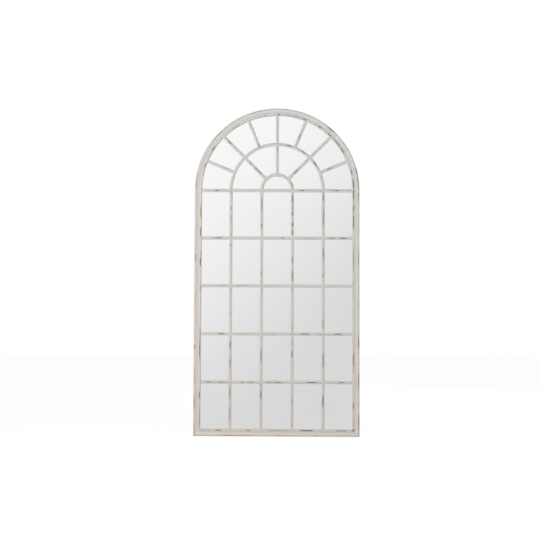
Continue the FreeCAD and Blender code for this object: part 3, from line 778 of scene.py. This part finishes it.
SCREW = screw_model()
low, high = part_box("board_screws")
screw_x = high.x - HEAD_RADIUS
rail_z = low.z + HEAD_RADIUS
stile_rise = (SPRING_HEIGHT - 2 * FIRST_SCREW) / (STILE_SCREWS - 1)
rail_step = 2 * screw_x / (RAIL_SCREWS + 1)
board_places = [(side * screw_x, high.y, FIRST_SCREW + k * stile_rise)
                for k in range(STILE_SCREWS) for side in (-1, 1)]
board_places += [(-screw_x + (k + 1) * rail_step, high.y, rail_z) for k in range(RAIL_SCREWS)]
for k in range(HEAD_SCREWS):
    angle = math.pi * (k + 0.5) / HEAD_SCREWS
    board_places.append((screw_x * math.cos(angle), high.y, SPRING_HEIGHT + screw_x * math.sin(angle)))
repeated("board_screws", board_places, SCREW, zinc, math.pi)
low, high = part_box("hanger_screws")
hanger_places = [(side * (high.x - HEAD_RADIUS), high.y, z)
                 for side in (-1, 1) for z in (low.z + HEAD_RADIUS, high.z - HEAD_RADIUS)]
repeated("hanger_screws", hanger_places, SCREW, zinc, math.pi)
bpy.data.objects.remove(SCREW)


# ---- Hangers ----
# Nickel-plated D-rings of bent wire, each held by a strap of sheet steel folded double round it
# and screwed to the back of a stile. The rings swing up to take the hook or the wire.

plated, tree = material("nickel-plated steel")
place = tree.place()
scuffs = tree.noise(place, 420.0, 4.0, 0.65)
colour = tree.blend(scuffs.between(0.35, 0.7), (0.60, 0.58, 0.54), (0.74, 0.72, 0.68))
surface(tree, base_color=colour, metallic=1.0, roughness=0.2 + scuffs * 0.25,
        normal=bump(tree, scuffs, 0.0001, 0.35))
for node in ("left_hanger_strap", "right_hanger_strap", "left_hanger_ring", "right_hanger_ring"):
    finish_node(node, plated)


# ---- Wall bumpers ----
# Four moulded domes of black rubber, stuck to the back by their flat feet. They keep the frame
# off the wall.

BUMPER_FOOT = 6.0 * MM        # the dome's radius at its foot and at its top
BUMPER_TOP = 4.8 * MM
DOME_ROUND = 1.6 * MM
DOME_SIDES = 32

rubber, tree = material("black rubber")
place = tree.place()
bloom = tree.noise(place, 150.0, 3.0, 0.6)
colour = tree.blend(bloom.between(0.4, 0.75), (0.030, 0.030, 0.031), (0.065, 0.064, 0.062))
surface(tree, base_color=colour, roughness=0.62 + bloom * 0.2, normal=bump(tree, bloom, 0.0002, 0.4))

low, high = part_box("wall_bumpers")
bumper_height = high.y - low.y
profile = [(BUMPER_FOOT, 0), (BUMPER_FOOT - 0.1 * MM, 0.6 * MM)]
profile += arc((BUMPER_TOP - DOME_ROUND, bumper_height - DOME_ROUND), DOME_ROUND, 12, 90, 7)
profile += [(BUMPER_TOP * 0.35, bumper_height)]
shell = bmesh.new()
dome_rings = turned_rings(shell, profile, DOME_SIDES, True)
shell.faces.new(dome_rings[0])
shell.faces.new(dome_rings[-1])
dome = model_from(shell, "dome model")
bumper_x = high.x - BUMPER_FOOT
bumper_places = [(side * bumper_x, low.y, low.z + BUMPER_FOOT) for side in (-1, 1)]
bumper_angle = math.asin((high.z - BUMPER_FOOT - SPRING_HEIGHT) / bumper_x)
for angle in (bumper_angle, math.pi - bumper_angle):
    bumper_places.append((bumper_x * math.cos(angle), low.y, SPRING_HEIGHT + bumper_x * math.sin(angle)))
repeated("wall_bumpers", bumper_places, dome, rubber)
bpy.data.objects.remove(dome)


# ---- Floor, light and camera ----
# A plain pale studio: a white floor that keeps a soft shadow, a room that is brighter high up on
# the left, a soft lamp on either side in front and one behind, and the camera low in front.

FLOOR_REACH = 14.0
FLOOR_GLOW = 1.105            # the white that the floor shows, and how much of it
FLOOR_SHOWN = 0.88
DAYLIGHT = 0.12               # from all round, on everything
ROOM_LOW, ROOM_HIGH = 0.740, 1.00    # what the glass mirrors, from low right to high left
CAMERA_PLACE = Vector((0.0301, -5.4547, 0.5981))
CAMERA_HEADING = Vector((-0.01237, 0.99838, 0.05547))
CAMERA_ROLL = math.radians(-0.25)
LENS = 66.667                 # in mm, on a sensor 36 mm wide

floor_mesh = bpy.data.meshes.new("floor")
corners = [(FLOOR_REACH * x, FLOOR_REACH * y, 0) for x, y in ((-1, -1), (1, -1), (1, 1), (-1, 1))]
floor_mesh.from_pydata(corners, [], [(0, 1, 2, 3)])
floor = linked("floor", floor_mesh)
pale, tree = material("pale floor")
rays = tree.node("ShaderNodeLightPath")
seen = rays.of("Is Camera Ray").or_more(rays.of("Is Glossy Ray")).or_more(rays.of("Is Transmission Ray"))
mottle = tree.noise(tree.place(), 1.5, 2.0)
dull_white = tree.blend(mottle, (0.47, 0.43, 0.38), (0.49, 0.45, 0.40))
lit = tree.node("ShaderNodeBsdfDiffuse", None, {"Color": dull_white})
white = tree.node("ShaderNodeEmission", None, {"Color": (1, 1, 1, 1), "Strength": FLOOR_GLOW})
shown = tree.node("ShaderNodeMixShader", None, {0: seen * FLOOR_SHOWN, 1: lit, 2: white})
tree.node("ShaderNodeOutputMaterial", None, {"Surface": shown})
floor.data.materials.append(pale)
floor.visible_glossy = False

room = bpy.data.worlds.new("studio")
bpy.context.scene.world = room
room.use_nodes = True
room.node_tree.nodes.clear()
tree = Tree(room.node_tree)
rays = tree.node("ShaderNodeLightPath")
direction = tree.node("ShaderNodeTexCoord", None, None, "Generated")
way = tree.node("ShaderNodeSeparateXYZ", None, {0: direction})
lift = (way.of("Z") - way.of("X") * 0.84).between(-0.09, 0.25)
gleam = lift * (ROOM_HIGH - ROOM_LOW) + ROOM_LOW
glossy = rays.of("Is Glossy Ray")
straight = rays.of("Is Camera Ray").or_more(rays.of("Is Transmission Ray"))
level = glossy * gleam + straight + (1 - glossy.or_more(straight)) * DAYLIGHT
light = tree.node("ShaderNodeBackground", None, {"Color": (1, 1, 1, 1), "Strength": level})
tree.node("ShaderNodeOutputWorld", None, {"Surface": light})


def soft_lamp(name, place, aim, size, power, colour=(1, 1, 1)):
    """A round lamp at a place, turned to its aim; the glass and the metal don't mirror it."""
    lamp = linked(name, bpy.data.lights.new(name, "AREA"))
    lamp.data.shape = "DISK"
    lamp.data.size = size
    lamp.data.energy = power
    lamp.data.color = colour
    lamp.location = place
    lamp.rotation_euler = (Vector(aim) - Vector(place)).to_track_quat("-Z", "Y").to_euler()
    lamp.visible_glossy = False


soft_lamp("window side", (-2.5, -3.1, 0.95), (0, 0, 0.95), 1.4, 92)
soft_lamp("room side", (3.6, -6.8, 1.5), (0, 0, 1.0), 3.0, 250)
soft_lamp("back fill", (2.6, 3.6, 1.3), (0, 0, 0.9), 2.2, 130, (1.0, 0.99, 0.98))

camera = linked("camera", bpy.data.cameras.new("camera"))
camera.data.sensor_width = 36.0
camera.data.lens = LENS
camera.data.clip_end = 60
camera.location = CAMERA_PLACE
facing = CAMERA_HEADING.to_track_quat("-Z", "Y").to_matrix()
right, up = facing.col[0].copy(), facing.col[1].copy()
facing.col[0] = right * math.cos(CAMERA_ROLL) - up * math.sin(CAMERA_ROLL)
facing.col[1] = up * math.cos(CAMERA_ROLL) + right * math.sin(CAMERA_ROLL)
camera.rotation_euler = facing.to_euler()
bpy.context.scene.camera = camera
bpy.context.scene.view_settings.view_transform = "Standard"
